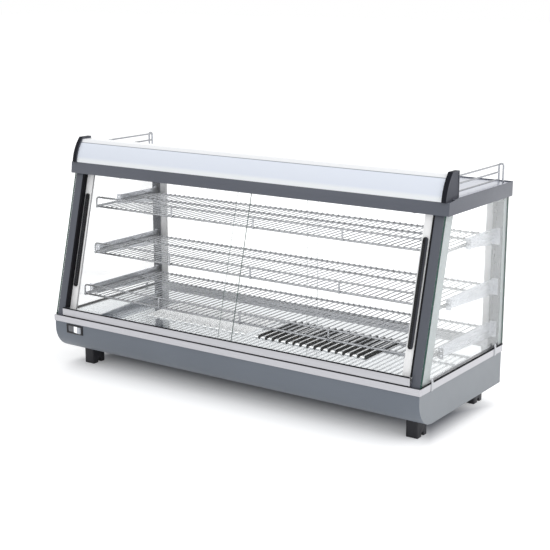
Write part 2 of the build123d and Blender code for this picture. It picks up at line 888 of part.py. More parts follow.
def make_header_panel():
    half = cap_inner()
    rear = y_front + header_rear
    shell = prism_x(header_section(0, fascia_top, roof_top, header_rise, rear), -half, half)
    hollow = prism_x(header_section(header_sheet, fascia_top - header_open, roof_top - header_open,
                                    header_rise - header_sheet, rear - header_sheet), -half - 1, half + 1)
    return cut(shell, [hollow])


def make_header_cap():
    rear = y_front + header_rear + cap_rear_proud
    section = header_section(-cap_proud, fascia_top, roof_top, cap_rise, rear)
    return prism_x(section, cap_inner(), cap_inner() + cap_width)


def make_ceiling_panel():
    low = canopy_z + canopy_sheet
    front = rake_y(low, upright_depth) + fit_gap
    half = upright_inner + ceiling_lap
    return block(-half, half, front, frame_back - fit_gap, low, low + ceiling_sheet)


def make_lamp_strip():
    high = canopy_z + canopy_sheet
    front = rake_y(high, upright_depth) + lamp_offset
    housing = block(-lamp_half, lamp_half, front, front + lamp_width, high - lamp_height, high)
    lens_edges = housing.edges().filter_by(Axis.X).group_by(Axis.Z)[0]
    return chamfer(lens_edges, lamp_height / 3)


def make_gallery():
    y = frame_rear - gallery_rear_inset
    start = y_front + header_rear
    top = roof_top + gallery_heights[-1] + gallery_bend / 2
    inner = gallery_inner
    outer = gallery_outer
    path = FilletPolyline((inner, y, roof_top), (inner, y, top), (outer, y, top), (outer, y, roof_top),
                          radius=gallery_bend)
    bars = [sweep(Plane(origin=(inner, y, roof_top), z_dir=(0, 0, 1)) * Circle(gallery_wire), path=path)]
    for height in gallery_heights:
        level = roof_top + height
        bars.append(rod((inner, start, level), (inner, y, level), gallery_rail))
    return fuse(bars)


# rocker switches: drawn facing -Y at the origin, the panel's face in the plane y = 0

def make_switch_housing():
    bezel = block(-bezel_width / 2, bezel_width / 2, -bezel_thick, 0, -bezel_height / 2, bezel_height / 2)
    bezel = chamfer(bezel.faces().sort_by(Axis.Y)[0].edges(), bezel_thick / 3)
    body = block(-switch_body_width / 2, switch_body_width / 2, 0, switch_body_depth,
                 -switch_body_height / 2, switch_body_height / 2)
    half = rocker_half + rocker_end_gap
    high = rocker_height / 2 + rocker_side_gap
    well = block(-half, half, -bezel_thick - 1, well_depth, -high, high)
    axis_y = rocker_pivot + rocker_recess - bezel_thick
    reach = high + rocker_pin_reach + rocker_pin_gap
    pivot = rod((0, axis_y, -reach), (0, axis_y, reach), rocker_pin + rocker_pin_gap)
    return cut(fuse([bezel, body]), [well, pivot])


def make_rocker():
    # the two halves meet in a shallow V; at rest the left half is pressed in
    rise = rocker_rise
    outline = Polygon((0, 0), (rocker_half, -rise), (rocker_half, rocker_thick),
                      (rocker_half / 3, rocker_thick + rise), (-rocker_half / 3, rocker_thick + rise),
                      (-rocker_half, rocker_thick), (-rocker_half, -rise), align=None)
    axis_y = rocker_pivot + rocker_recess - bezel_thick
    button = extrude(outline, amount=rocker_height / 2, both=True)
    button = Pos(0, rocker_recess - bezel_thick, 0) * button
    reach = rocker_height / 2 + rocker_side_gap + rocker_pin_reach
    pins = rod((0, axis_y, -reach), (0, axis_y, reach), rocker_pin)
    pivot = Pos(0, axis_y, 0)
    return pivot * Rot(0, 0, -rocker_tilt) * Pos(0, -axis_y, 0) * fuse([button, pins])


# rear control plate, thermostat with knob, cable gland

def make_control_plate():
    plate = block(plate_left, plate_right, body_rear, body_rear + plate_sheet, plate_low, plate_high)
    far = body_rear + plate_sheet + 1
    near = body_rear - 1
    tools = [
        rod((thermostat_x, near, plate_mid), (thermostat_x, far, plate_mid), knob_shaft + hole_gap),
        rod((gland_x, near, plate_mid), (gland_x, far, plate_mid), gland_thread + hole_gap),
        switch_place(heat_switch_x, 1) * Box(switch_body_width + 2 * hole_gap, 4 * plate_sheet,
                                            switch_body_height + 2 * hole_gap),
    ]
    return cut(plate, tools)


def make_thermostat():
    half = thermostat_size / 2
    body = block(thermostat_x - half, thermostat_x + half, body_rear - thermostat_depth, body_rear,
                 plate_mid - half, plate_mid + half)
    bore = rod((thermostat_x, body_rear - knob_shaft_reach - 1, plate_mid),
               (thermostat_x, body_rear + 1, plate_mid), knob_shaft + knob_shaft_gap)
    return cut(body, [bore])


def make_thermostat_knob():
    face = body_rear + plate_sheet + knob_gap
    x = thermostat_x
    skirt = rod((x, face, plate_mid), (x, face + knob_skirt, plate_mid), knob_radius)
    skirt = chamfer(skirt.faces().sort_by(Axis.Y)[-1].edges(), knob_skirt / 3)
    grip = block(x - knob_grip_width / 2, x + knob_grip_width / 2, face + knob_skirt / 2,
                 face + knob_height, plate_mid - knob_radius + 2, plate_mid + knob_radius - 2)
    grip = chamfer(grip.edges().filter_by(Axis.Z).group_by(Axis.Y)[-1], knob_grip_width / 5)
    shaft = rod((x, body_rear - knob_shaft_reach, plate_mid), (x, face + 1, plate_mid), knob_shaft)
    return fuse([skirt, grip, shaft])


def make_cable_gland():
    face = body_rear + plate_sheet
    flange = rod((gland_x, face, plate_mid), (gland_x, face + gland_out / 3, plate_mid), gland_radius)
    dome = rod((gland_x, face, plate_mid), (gland_x, face + gland_out, plate_mid), gland_thread)
    dome = chamfer(dome.faces().sort_by(Axis.Y)[-1].edges(), gland_thread / 4)
    tail = rod((gland_x, body_rear - gland_in, plate_mid), (gland_x, face, plate_mid), gland_thread)
    nut = rod((gland_x, body_rear - gland_in / 2, plate_mid), (gland_x, body_rear, plate_mid), gland_radius)
    bore = rod((gland_x, body_rear - gland_in - 1, plate_mid), (gland_x, face + gland_out + 1, plate_mid),
               gland_bore)
    return cut(fuse([flange, dome, tail, nut]), [bore])


# every piece under its name; a list holds identical pieces that share a node

parts = {
    "base_body": make_base_body(),
    "base_trim": make_base_trim(),
    "deck_plate": make_deck_plate(),
    "bottom_cover": make_bottom_cover(),
    "heat_tray": make_heat_tray(),
    "foot_screws": make_foot_screws(),
    "front_lower_track": make_front_lower_track(),
    "front_upper_track": make_front_upper_track(),
    "rear_lower_track": make_rear_track(
        deck_z, deck_z + rear_track_height, deck_z + rear_track_floor, deck_z + rear_track_height + 1,
        post_inner),
    "rear_upper_track": make_rear_track(
        canopy_z, roof_top - roof_hem, canopy_z - 1, canopy_z + 2 * door_entry, rear_track_half),
    "canopy_frame": make_canopy_frame(),
    "roof_panel": make_roof_panel(),
    "ceiling_panel": make_ceiling_panel(),
    "lamp_strip": make_lamp_strip(),
    "header_panel": make_header_panel(),
    "light_switch_housing": switch_place(switch_x, -1) * make_switch_housing(),
    "light_switch_rocker": switch_place(switch_x, -1) * make_rocker(),
    "heat_switch_housing": switch_place(heat_switch_x, 1) * make_switch_housing(),
    "heat_switch_rocker": switch_place(heat_switch_x, 1) * make_rocker(),
    "control_plate": make_control_plate(),
    "thermostat": make_thermostat(),
    "thermostat_knob": make_thermostat_knob(),
    "cable_gland": make_cable_gland(),
}

handed = {
    "heating_element": make_element(),
    "front_upright": make_front_upright(),
    "rear_post": make_rear_post(),
    "side_glass": make_side_glass(),
    "header_cap": make_header_cap(),
    "gallery": make_gallery(),
}
for name, shape in handed.items():
    parts[name + "_right"] = shape
    parts[name + "_left"] = mirrored(shape)

for name, number in (("right", 0), ("left", 1)):
    parts["front_door_" + name + "_glass"] = make_front_door_glass(number)
    parts["front_door_" + name + "_stile"] = make_front_door_stile(number)
    parts["front_door_" + name + "_handle"] = make_front_door_handle(number)
for name, number in (("left", 0), ("right", 1)):
    parts["rear_door_" + name + "_glass"] = make_rear_door_glass(number)
    parts["rear_door_" + name + "_stile"] = make_rear_door_stile(number)

for x_name, x in (("left", -foot_x), ("right", foot_x)):
    for y_name, y in (("front", foot_front_y), ("rear", foot_rear_y)):
        parts["foot_" + y_name + "_" + x_name] = make_foot(x, y)

for level in shelf_slots:
    bracket = make_bracket(level)
    parts["shelf_" + level] = make_shelf(level)
    parts["shelf_rail_" + level] = make_shelf_rail(level)
    parts["shelf_brackets_" + level] = [bracket, mirrored(bracket)]

seal = make_upright_seal()
gasket = make_gasket()
clips = [make_clip(y_front + clip_front_inset), make_clip(y_front + case_depth - clip_rear_inset)]
parts["glass_seals"] = [seal, mirrored(seal), gasket, mirrored(gasket)]
parts["glass_clips"] = clips + [mirrored(clip) for clip in clips]

for name, shape in parts.items():
    if isinstance(shape, list):
        shape = Compound(children=shape)
    export_step(shape, "parts/" + name + ".step")
print(len(parts), "parts")
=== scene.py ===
import math
import bpy
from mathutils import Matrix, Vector


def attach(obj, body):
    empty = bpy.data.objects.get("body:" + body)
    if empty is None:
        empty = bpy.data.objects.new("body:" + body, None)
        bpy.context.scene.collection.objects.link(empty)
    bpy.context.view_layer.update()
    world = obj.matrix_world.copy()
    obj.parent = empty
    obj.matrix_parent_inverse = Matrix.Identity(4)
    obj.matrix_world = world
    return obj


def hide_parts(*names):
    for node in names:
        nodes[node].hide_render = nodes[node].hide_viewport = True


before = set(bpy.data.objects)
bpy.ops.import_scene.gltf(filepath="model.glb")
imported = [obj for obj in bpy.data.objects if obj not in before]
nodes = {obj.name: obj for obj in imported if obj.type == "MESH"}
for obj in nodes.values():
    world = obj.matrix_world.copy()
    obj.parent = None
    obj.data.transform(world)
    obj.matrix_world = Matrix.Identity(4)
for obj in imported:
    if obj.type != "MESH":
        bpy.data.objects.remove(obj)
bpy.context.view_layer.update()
print("frame loaded:", len(nodes), "solids")


# finishes: a socket that Python's operators work on

class Signal:
    def __init__(self, finish, socket):
        self.finish = finish
        self.socket = socket

    def maths(self, operation, other=None, flipped=False):
        ends = [other, self] if flipped else [self, other]
        inputs = {place: end for place, end in enumerate(ends) if end is not None}
        return self.finish.add("Math", {"operation": operation}, inputs)

    def __add__(self, other):
        return self.maths("ADD", other)

    def __radd__(self, other):
        return self.maths("ADD", other, True)

    def __sub__(self, other):
        return self.maths("SUBTRACT", other)

    def __rsub__(self, other):
        return self.maths("SUBTRACT", other, True)

    def __mul__(self, other):
        return self.maths("MULTIPLY", other)

    def __rmul__(self, other):
        return self.maths("MULTIPLY", other, True)

    def __abs__(self):
        return self.maths("ABSOLUTE")

    def step(self, low, high):  # 0 below low, 1 above high, smooth between
        return self.finish.add("MapRange", {"interpolation_type": "SMOOTHSTEP"},
                               {"Value": self, "From Min": low, "From Max": high})

    def line(self, centre, half, soft):  # 1 within half of the centre, 0 away from it
        return 1 - abs(self - centre).step(half, half + soft)


class Finish:  # one material, or the world, under construction
    def __init__(self, name, kind="materials"):
        self.owner = getattr(bpy.data, kind).new(name)
        self.owner.use_nodes = True
        self.tree = self.owner.node_tree
        self.tree.nodes.clear()
        self.place = self.add("TexCoord", {}, {}, "Object")

    def add(self, kind, settings, inputs, output=0):
        node = self.tree.nodes.new("ShaderNode" + kind)
        for name, value in settings.items():
            if name == "stops":
                self.fillRamp(node.color_ramp, value)
            else:
                setattr(node, name, value)
        for name, value in inputs.items():
            self.feed(node.inputs[name], value)
        return Signal(self, node.outputs[output]) if len(node.outputs) else None

    def feed(self, socket, value):
        if isinstance(value, Signal):
            self.tree.links.new(value.socket, socket)
        elif socket.type == "RGBA" and len(value) == 3:
            socket.default_value = (*value, 1)
        else:
            socket.default_value = value

    def fillRamp(self, ramp, stops):
        while len(ramp.elements) < len(stops):
            ramp.elements.new(0.5)
        for element, (position, shade) in zip(ramp.elements, stops):
            element.position = position
            element.color = (*shade, 1)

    def outputs(self, signal, names):  # more outputs of the node that a signal comes from
        return [Signal(self, signal.socket.node.outputs[name]) for name in names]

    def parts(self, vector):  # the three numbers of a vector
        return self.outputs(self.add("SeparateXYZ", {}, {"Vector": vector}), (0, 1, 2))

    def axes(self):
        return self.parts(self.place)

    def facing(self):  # the surface's own direction, in the object's frame
        return self.parts(self.add("TexCoord", {}, {}, "Normal"))

    def seen(self):  # 1 on rays from the camera, straight or by way of metal or glass
        straight = self.add("LightPath", {}, {}, "Is Camera Ray")
        glossy, through = self.outputs(straight, ("Is Glossy Ray", "Is Transmission Ray"))
        return straight.maths("MAXIMUM", glossy).maths("MAXIMUM", through)

    def noise(self, scale, detail=2.0, stretch=(1, 1, 1)):
        point = self.add("Mapping", {}, {"Vector": self.place, "Scale": stretch})
        return self.add("TexNoise", {}, {"Vector": point, "Scale": scale, "Detail": detail})

    def cells(self, scale):
        return self.add("TexVoronoi", {}, {"Vector": self.place, "Scale": scale}, "Color")

    def blend(self, amount, first, second):
        return self.add("Mix", {"data_type": "RGBA"}, {0: amount, 6: first, 7: second}, 2)

    def bump(self, height, depth):
        return self.add("Bump", {}, {"Height": height, "Distance": depth, "Strength": 1.0})

    def shader(self, **sockets):
        inputs = {name.replace("_", " "): value for name, value in sockets.items()}
        return self.add("BsdfPrincipled", {}, inputs)

    def layered(self, amount, under, over):
        return self.add("MixShader", {}, {0: amount, 1: under, 2: over})

    def done(self, shader, kind="OutputMaterial"):
        self.add(kind, {}, {"Surface": shader})
        return self.owner


def tint(colour, factor):
    return tuple(min(channel * factor, 1.0) for channel in colour)


# powder coats, gloss paint and moulded plastics; each has a second colour for faces that look
# sideways: painted shade, lighter or darker as the light falls on them
coats = {
    "basePaint": {
        "colour": (0.150, 0.172, 0.205), "paintedSideShade": (0.190, 0.206, 0.224), "rough": 0.42,
        "grain": 1100, "depth": 0.00004, "coat": 0.10, "shine": 0.4},
    "framePaint": {
        "colour": (0.092, 0.100, 0.122), "paintedSideShade": (0.105, 0.112, 0.134), "rough": 0.45,
        "grain": 1300, "depth": 0.00003, "coat": 0.05, "shine": 0.35,
        "outer": (0.50, 0.54, 0.545)},
    "canopyPaint": {
        "colour": (0.102, 0.111, 0.136), "paintedSideShade": (0.100, 0.106, 0.125), "rough": 0.40,
        "grain": 1200, "depth": 0.00003, "coat": 0.05, "shine": 0.35},
    "stileCoat": {
        "colour": (0.98, 0.985, 0.995), "paintedSideShade": (0.95, 0.96, 0.975), "rough": 0.35,
        "grain": 900, "depth": 0.00002, "coat": 0.2, "shine": 0.5},
    "capPlastic": {
        "colour": (0.010, 0.011, 0.016), "paintedSideShade": (0.062, 0.065, 0.078), "rough": 0.50,
        "grain": 1500, "depth": 0.00005, "coat": 0.0, "shine": 0.10},
    "footPlastic": {
        "colour": (0.016, 0.016, 0.020), "paintedSideShade": (0.020, 0.020, 0.024), "rough": 0.50,
        "grain": 1400, "depth": 0.00006, "coat": 0.0, "shine": 0.35},
    "blackPlastic": {
        "colour": (0.012, 0.012, 0.014), "paintedSideShade": (0.014, 0.014, 0.016), "rough": 0.42,
        "grain": 1600, "depth": 0.00004, "coat": 0.0, "shine": 0.35},
    "gripRib": {
        "colour": (0.030, 0.032, 0.034), "paintedSideShade": (0.030, 0.032, 0.034), "rough": 0.38,
        "grain": 1300, "depth": 0.00003, "coat": 0.0, "shine": 0.35},
    "sealRubber": {
        "colour": (0.010, 0.010, 0.012), "paintedSideShade": (0.010, 0.010, 0.012), "rough": 0.62,
        "grain": 1800, "depth": 0.00005, "coat": 0.0, "shine": 0.08},
}
# what all coats share: wear, and painted light and shade; the edge given here is where the pale
# strip painted on the posts' outer faces, a painted reflection of the side glass, starts
wearAndPaintedLight = {"cloud": 4, "cloudSpan": (0.3, 0.7), "cloudShare": 0.8, "hands": 38, "handShare": 0.2,
        "lift": 1.10, "roughSwing": 0.16, "turned": (0.55, 0.85), "paintedReflectionEdge": (0.5920, 0.5935),
        "coatRough": 0.3}


def makeCoat(name, colour, paintedSideShade, rough, grain, depth, coat, shine, outer=None):
    f = Finish(name)
    broad = f.noise(wearAndPaintedLight["cloud"], 3)
    handled = f.noise(wearAndPaintedLight["hands"], 4)
    peel = f.noise(grain)
    # painted light and shade: faces that look sideways take their own lighter or darker colour
    sideways = abs(f.facing()[0]).step(*wearAndPaintedLight["turned"])
    base = f.blend(sideways, colour, paintedSideShade)
    worn = f.blend(sideways, tint(colour, wearAndPaintedLight["lift"]), tint(paintedSideShade, wearAndPaintedLight["lift"]))
    amount = broad.step(*wearAndPaintedLight["cloudSpan"]) * wearAndPaintedLight["cloudShare"] + handled * wearAndPaintedLight["handShare"]
    shade = f.blend(amount, base, worn)
    # painted reflection: the posts' outward faces behind the side glass turn pale
    if outer:
        x, y, z = f.axes()
        shade = f.blend(abs(x).step(*wearAndPaintedLight["paintedReflectionEdge"]) * sideways, shade, outer)
    return f.done(f.shader(
        Base_Color=shade, Roughness=(handled - 0.5) * wearAndPaintedLight["roughSwing"] + rough,
        Normal=f.bump(peel, depth), Coat_Weight=coat, Coat_Roughness=wearAndPaintedLight["coatRough"],
        Specular_IOR_Level=shine))


# door handles: a black ribbed half, a groove, and a smoother grey half towards the upright
grip = {"black": (0.006, 0.006, 0.008), "grey": (0.036, 0.038, 0.048),
        "groove": (0.002, 0.002, 0.003), "grooveAt": 0.5534, "grooveHalf": 0.0003,
        "blur": 0.0003, "sunk": 6, "rough": 0.40, "roughSwing": 0.14, "hands": 40,
        "grain": 1300, "depth": 0.00004, "shine": 0.2}


def makeGrip(name):
    f = Finish(name)
    x, y, z = f.axes()
    across = abs(x)
    outer = across.step(grip["grooveAt"], grip["grooveAt"] + grip["blur"])
    groove = across.line(grip["grooveAt"], grip["grooveHalf"], grip["blur"])
    shade = f.blend(groove, f.blend(outer, grip["black"], grip["grey"]), grip["groove"])
    rough = (f.noise(grip["hands"], 3) - 0.5) * grip["roughSwing"] + grip["rough"]
    height = f.noise(grip["grain"]) - groove * grip["sunk"]
    return f.done(f.shader(Base_Color=shade, Roughness=rough, Specular_IOR_Level=grip["shine"],
                           Normal=f.bump(height, grip["depth"])))


# metals; "lines" is how fine the brushing is along each axis, in lines per metre
metals = {
    "trimSteel": {
        "colour": (0.490, 0.488, 0.512), "rough": 0.30, "lines": (6, 900, 900), "depth": 0.00003},
    "roofSteel": {
        "colour": (0.655, 0.675, 0.745), "rough": 0.30, "lines": (5, 700, 700), "depth": 0.00003},
    "bracketSteel": {
        "colour": (0.47, 0.485, 0.52), "rough": 0.28, "lines": (700, 10, 700), "depth": 0.00003},
    "trackAluminium": {
        "colour": (0.485, 0.485, 0.508), "rough": 0.34, "lines": (5, 600, 600), "depth": 0.00003},
    "clipSteel": {
        "colour": (0.46, 0.47, 0.49), "rough": 0.30, "lines": (300, 300, 40), "depth": 0.00002},
    "wireChrome": {
        "colour": (0.42, 0.43, 0.45), "rough": 0.16, "lines": (120, 120, 120), "depth": 0.00002},
    "screwSteel": {
        "colour": (0.52, 0.52, 0.53), "rough": 0.30, "lines": (400, 400, 400), "depth": 0.00003},
}
brushing = {"span": (0.25, 0.75), "dark": 0.93, "light": 1.05, "lineSwing": 0.12,
            "smudge": 22, "smudgeSwing": 0.08}


def makeMetal(name, colour, rough, lines, depth):
    f = Finish(name)
    brushed = f.noise(1, 3, lines)
    smudge = f.noise(brushing["smudge"], 4)
    shade = f.blend(brushed.step(*brushing["span"]), tint(colour, brushing["dark"]),
                    tint(colour, brushing["light"]))
    swing = (brushed - 0.5) * brushing["lineSwing"] + (smudge - 0.5) * brushing["smudgeSwing"]
    return f.done(f.shader(Base_Color=shade, Metallic=1.0, Roughness=swing + rough,
                           Normal=f.bump(brushed, depth)))


# mirror-bright floor sheet; what stands above "sheetTop" is the hoods of its louvres: duller, and
# painted whiter and less metallic as a painted highlight
floorSheet = {"colour": (0.90, 0.93, 0.95), "hood": (0.97, 0.98, 0.985), "rough": 0.07,
              "hoodRough": 0.13, "hoodMetal": 0.92, "sheetTop": 0.1585, "hoodFrom": 0.1600,
              "lines": (4, 800, 300), "dark": 0.95, "light": 1.04, "smudge": 14,
              "smudgeSwing": 0.06, "depth": 0.00001}


def makeFloorSheet(name):
    f = Finish(name)
    brushed = f.noise(1, 3, floorSheet["lines"])
    smudge = f.noise(floorSheet["smudge"], 4)
    x, y, z = f.axes()
    hood = z.step(floorSheet["sheetTop"], floorSheet["hoodFrom"])
    flat = f.blend(brushed.step(*brushing["span"]), tint(floorSheet["colour"], floorSheet["dark"]),
                   tint(floorSheet["colour"], floorSheet["light"]))
    duller = hood * (floorSheet["hoodRough"] - floorSheet["rough"])
    rough = (smudge - 0.5) * floorSheet["smudgeSwing"] + floorSheet["rough"] + duller
    # painted highlight: the hoods take a whiter colour and less metal than the sheet
    return f.done(f.shader(
        Base_Color=f.blend(hood, flat, floorSheet["hood"]), Roughness=rough,
        Metallic=1 - hood * (1 - floorSheet["hoodMetal"]),
        Normal=f.bump(brushed, floorSheet["depth"])))


# galvanised sheet, with its spangle
zinc = {"spangle": 70, "dark": (0.46, 0.48, 0.50), "light": (0.66, 0.68, 0.70), "rough": 0.32,
        "roughSwing": 0.15, "grain": 600, "depth": 0.00002}


def makeZinc(name):
    f = Finish(name)
    tone = f.add("RGBToBW", {}, {"Color": f.cells(zinc["spangle"])})
    return f.done(f.shader(
        Base_Color=f.blend(tone, zinc["dark"], zinc["light"]), Metallic=1.0,
        Roughness=tone * zinc["roughSwing"] + zinc["rough"],
        Normal=f.bump(f.noise(zinc["grain"]), zinc["depth"])))


# sheathed heating elements: dark, with straw and blue heat colours
tube = {"patches": 18, "rough": 0.35, "roughSwing": 0.2, "grain": 900, "depth": 0.00004,
        "stops": [(0.25, (0.10, 0.085, 0.075)), (0.5, (0.20, 0.155, 0.105)),
                  (0.75, (0.11, 0.11, 0.14))]}


def makeHeatedTube(name):
    f = Finish(name)
    heat = f.noise(tube["patches"], 3)
    return f.done(f.shader(
        Base_Color=f.add("ValToRGB", {"stops": tube["stops"]}, {"Fac": heat}), Metallic=1.0,
        Roughness=heat * tube["roughSwing"] + tube["rough"],
        Normal=f.bump(f.noise(tube["grain"]), tube["depth"])))


# curved header: cool white gloss, paler towards its foot, with a pressed crease near its top whose
# dark line is painted shade
header = {"high": (0.800, 0.850, 0.950), "low": (0.935, 0.965, 0.990), "top": (0.95, 0.96, 0.98),
          "foot": 0.5965, "crown": 0.6080, "crease": 0.6450, "topFrom": 0.6460,
          "creaseHalf": 0.0006, "creaseSoft": 0.0006, "creasePaintedShade": (0.34, 0.36, 0.42),
          "creaseSunk": 4, "cloud": 5, "cloudShare": 0.18, "rough": 0.32, "hands": 30,
          "roughSwing": 0.08, "grain": 700, "depth": 0.00003, "coat": 0.2, "coatRough": 0.15,
          "shine": 0.3}


def makeHeaderPaint(name):
    f = Finish(name)
    x, y, z = f.axes()
    shade = f.blend(z.step(header["foot"], header["crown"]), header["low"], header["high"])
    shade = f.blend(z.step(header["crease"], header["topFrom"]), shade, header["top"])
    shade = f.blend(f.noise(header["cloud"]) * header["cloudShare"], shade, header["low"])
    # painted shade: the crease's line is darkened in colour, besides being sunk
    crease = z.line(header["crease"], header["creaseHalf"], header["creaseSoft"])
    shade = f.blend(crease, shade, header["creasePaintedShade"])
    rough = (f.noise(header["hands"], 3) - 0.5) * header["roughSwing"] + header["rough"]
    height = f.noise(header["grain"]) - crease * header["creaseSunk"]
    return f.done(f.shader(
        Base_Color=shade, Roughness=rough, Coat_Weight=header["coat"],
        Coat_Roughness=header["coatRough"], Specular_IOR_Level=header["shine"],
        Normal=f.bump(height, header["depth"])))


# panes: clear, with green polished edges; a side pane's broad faces look sideways
panes = {
    "leftDoorGlass": {
        "sideways": False, "film": 0.010, "glance": 0.25, "edge": (0.020, 0.075, 0.062),
        "hold": 0.92},
    "rightDoorGlass": {
        "sideways": False, "film": 0.010, "glance": 0.25, "edge": (0.10, 0.20, 0.17),
        "hold": 0.45},
    "rearDoorGlass": {
        "sideways": False, "film": 0.010, "glance": 0.25, "edge": (0.10, 0.19, 0.17),
        "hold": 0.50},
    "sideGlass": {
        "sideways": True, "film": 0.022, "glance": 0.28, "edge": (0.003, 0.052, 0.038),
        "hold": 0.95},
}
glass = {"colour": (0.972, 0.988, 0.982), "rough": 0.02, "ior": 1.45, "turned": (0.4, 0.6),
         "wiped": 9, "filmSwing": 0.4, "filmLeast": 0.8, "edgeLines": (40, 40, 900),
         "edgeDark": 0.7, "edgeLight": 1.5, "edgeRough": 0.12}


def makeGlass(name, sideways, film, glance, edge, hold):
    f = Finish(name)
    nx = abs(f.facing()[0]).step(*glass["turned"])
    rim = 1 - nx if sideways else nx
    grazing = f.add("Fresnel", {}, {"IOR": glass["ior"]})
    wiped = f.noise(glass["wiped"], 3)
    clear = f.shader(
        Base_Color=glass["colour"], Metallic=1.0, Roughness=glass["rough"],
        Alpha=grazing * glance + (wiped * glass["filmSwing"] + glass["filmLeast"]) * film)
    streak = f.noise(1, 2, glass["edgeLines"])
    green = f.blend(streak, tint(edge, glass["edgeDark"]), tint(edge, glass["edgeLight"]))
    cut = f.shader(Base_Color=green, Roughness=glass["edgeRough"], Alpha=hold)
    return f.done(f.layered(rim, clear, cut))


# rockers: one half dark, a lit window, the rest pale; distances from each rocker's middle
rocker = {"lightAt": -0.521, "heatAt": 0.425, "dark": (0.085, 0.090, 0.105),
          "pale": (0.56, 0.59, 0.64), "paleFrom": (-0.0050, -0.0035), "lit": (0.95, 0.97, 1.0),
          "windowAt": 0.0045, "windowHalf": 0.0060, "windowSoft": 0.0015, "glow": 0.5,
          "hands": 300, "rough": 0.22, "roughSwing": 0.05, "coat": 0.4, "grain": 900,
          "depth": 0.00002}


def makeRocker(name, centre, flip):
    f = Finish(name)
    x, y, z = f.axes()
    along = (x - centre) * (-1 if flip else 1)
    window = along.line(rocker["windowAt"], rocker["windowHalf"], rocker["windowSoft"])
    halves = f.blend(along.step(*rocker["paleFrom"]), rocker["dark"], rocker["pale"])
    return f.done(f.shader(
        Base_Color=f.blend(window, halves, rocker["lit"]), Coat_Weight=rocker["coat"],
        Roughness=(f.noise(rocker["hands"]) - 0.5) * rocker["roughSwing"] + rocker["rough"],
        Emission_Color=f.blend(window, (0, 0, 0), rocker["lit"]),
        Emission_Strength=rocker["glow"],
        Normal=f.bump(f.noise(rocker["grain"]), rocker["depth"])))


# milky cover of the light strip
diffuser = {"milk": 60, "dark": (0.80, 0.80, 0.77), "light": (0.90, 0.90, 0.87),
            "ribs": (900, 4, 4), "rough": 0.4, "roughSwing": 0.1, "glow": 0.35,
            "depth": 0.00003}


def makeDiffuser(name):
    f = Finish(name)
    milk = f.noise(diffuser["milk"], 3)
    shade = f.blend(milk, diffuser["dark"], diffuser["light"])
    return f.done(f.shader(
        Base_Color=shade, Roughness=(milk - 0.5) * diffuser["roughSwing"] + diffuser["rough"],
        Emission_Color=shade, Emission_Strength=diffuser["glow"],
        Normal=f.bump(f.noise(1, 1, diffuser["ribs"]), diffuser["depth"])))


# pale ink of the dial's figures
ink = {"worn": 700, "dark": (0.72, 0.73, 0.74), "light": (0.86, 0.87, 0.88), "rough": 0.45,
       "roughSwing": 0.2}


def makePrint(name):
    f = Finish(name)
    worn = f.noise(ink["worn"], 3)
    return f.done(f.shader(Base_Color=f.blend(worn, ink["dark"], ink["light"]),
                           Roughness=worn * ink["roughSwing"] + ink["rough"]))


finishes = {name: makeCoat(name, **values) for name, values in coats.items()}
finishes.update({name: makeMetal(name, **values) for name, values in metals.items()})
finishes.update({name: makeGlass(name, **values) for name, values in panes.items()})
for name, maker in {"gripPlastic": makeGrip, "floorSteel": makeFloorSheet, "zincSheet": makeZinc,
                    "heatedTube": makeHeatedTube, "headerPaint": makeHeaderPaint,
                    "diffuser": makeDiffuser, "printInk": makePrint}.items():
    finishes[name] = maker(name)
finishes["lightRocker"] = makeRocker("lightRocker", rocker["lightAt"], False)
finishes["heatRocker"] = makeRocker("heatRocker", rocker["heatAt"], True)
print("finishes made:", len(finishes))


# which finish each solid of the frame takes
dressing = {
    "basePaint": ["base_body", "control_plate"],
    "trimSteel": ["base_trim"],
    "roofSteel": ["roof_panel"],
    "clipSteel": ["glass_clips"],
    "floorSteel": ["deck_plate"],
    "zincSheet": ["bottom_cover", "heat_tray", "ceiling_panel"],
    "heatedTube": ["heating_element_left", "heating_element_right"],
    "blackPlastic": ["thermostat", "cable_gland"],
    "framePaint": ["rear_post_left", "rear_post_right"],
    "trackAluminium": ["front_upper_track", "rear_lower_track", "rear_upper_track"],
    "stileCoat": ["front_door_left_stile", "front_door_right_stile", "rear_door_left_stile",
                  "rear_door_right_stile"],
    "leftDoorGlass": ["front_door_left_glass"],
    "rightDoorGlass": ["front_door_right_glass"],
    "rearDoorGlass": ["rear_door_left_glass", "rear_door_right_glass"],
    "sideGlass": ["side_glass_left", "side_glass_right"],
    "sealRubber": ["glass_seals"],
    "wireChrome": ["shelf_lower", "shelf_middle", "shelf_upper", "shelf_rail_lower",
                   "shelf_rail_middle", "shelf_rail_upper", "gallery_left", "gallery_right"],
    "bracketSteel": ["shelf_brackets_lower", "shelf_brackets_middle", "shelf_brackets_upper"],
    "headerPaint": ["header_panel"],
    "diffuser": ["lamp_strip"],
    "screwSteel": ["foot_screws"],
}


def paint(piece, finish):
    piece.data.materials.clear()
    piece.data.materials.append(finishes[finish])


for finish, names in dressing.items():
    for name in names:
        paint(nodes[name], finish)
print("solids dressed:", sum(len(names) for names in dressing.values()))


# the bench: how a piece is started, shaped, copied and fitted; "square" is how far a face has to
# look along an axis, "merge" is in metres, the others are angles in degrees
bench = {"square": 0.9, "merge": 0.00001, "flat": 1, "crisp": 35, "smooth": 32}


def release():
    if bpy.context.mode != "OBJECT":
        bpy.ops.object.mode_set(mode="OBJECT")
    bpy.ops.object.select_all(action="DESELECT")


def grab(*pieces):
    release()
    for piece in pieces:
        piece.select_set(True)
    bpy.context.view_layer.objects.active = pieces[-1]


def label(name):
    piece = bpy.context.object
    piece.name = name
    piece.data.name = name
    return piece


def settle(piece):  # the object goes to the origin, its place into its mesh
    grab(piece)
    bpy.ops.object.transform_apply(location=True, rotation=True, scale=True)
    return piece


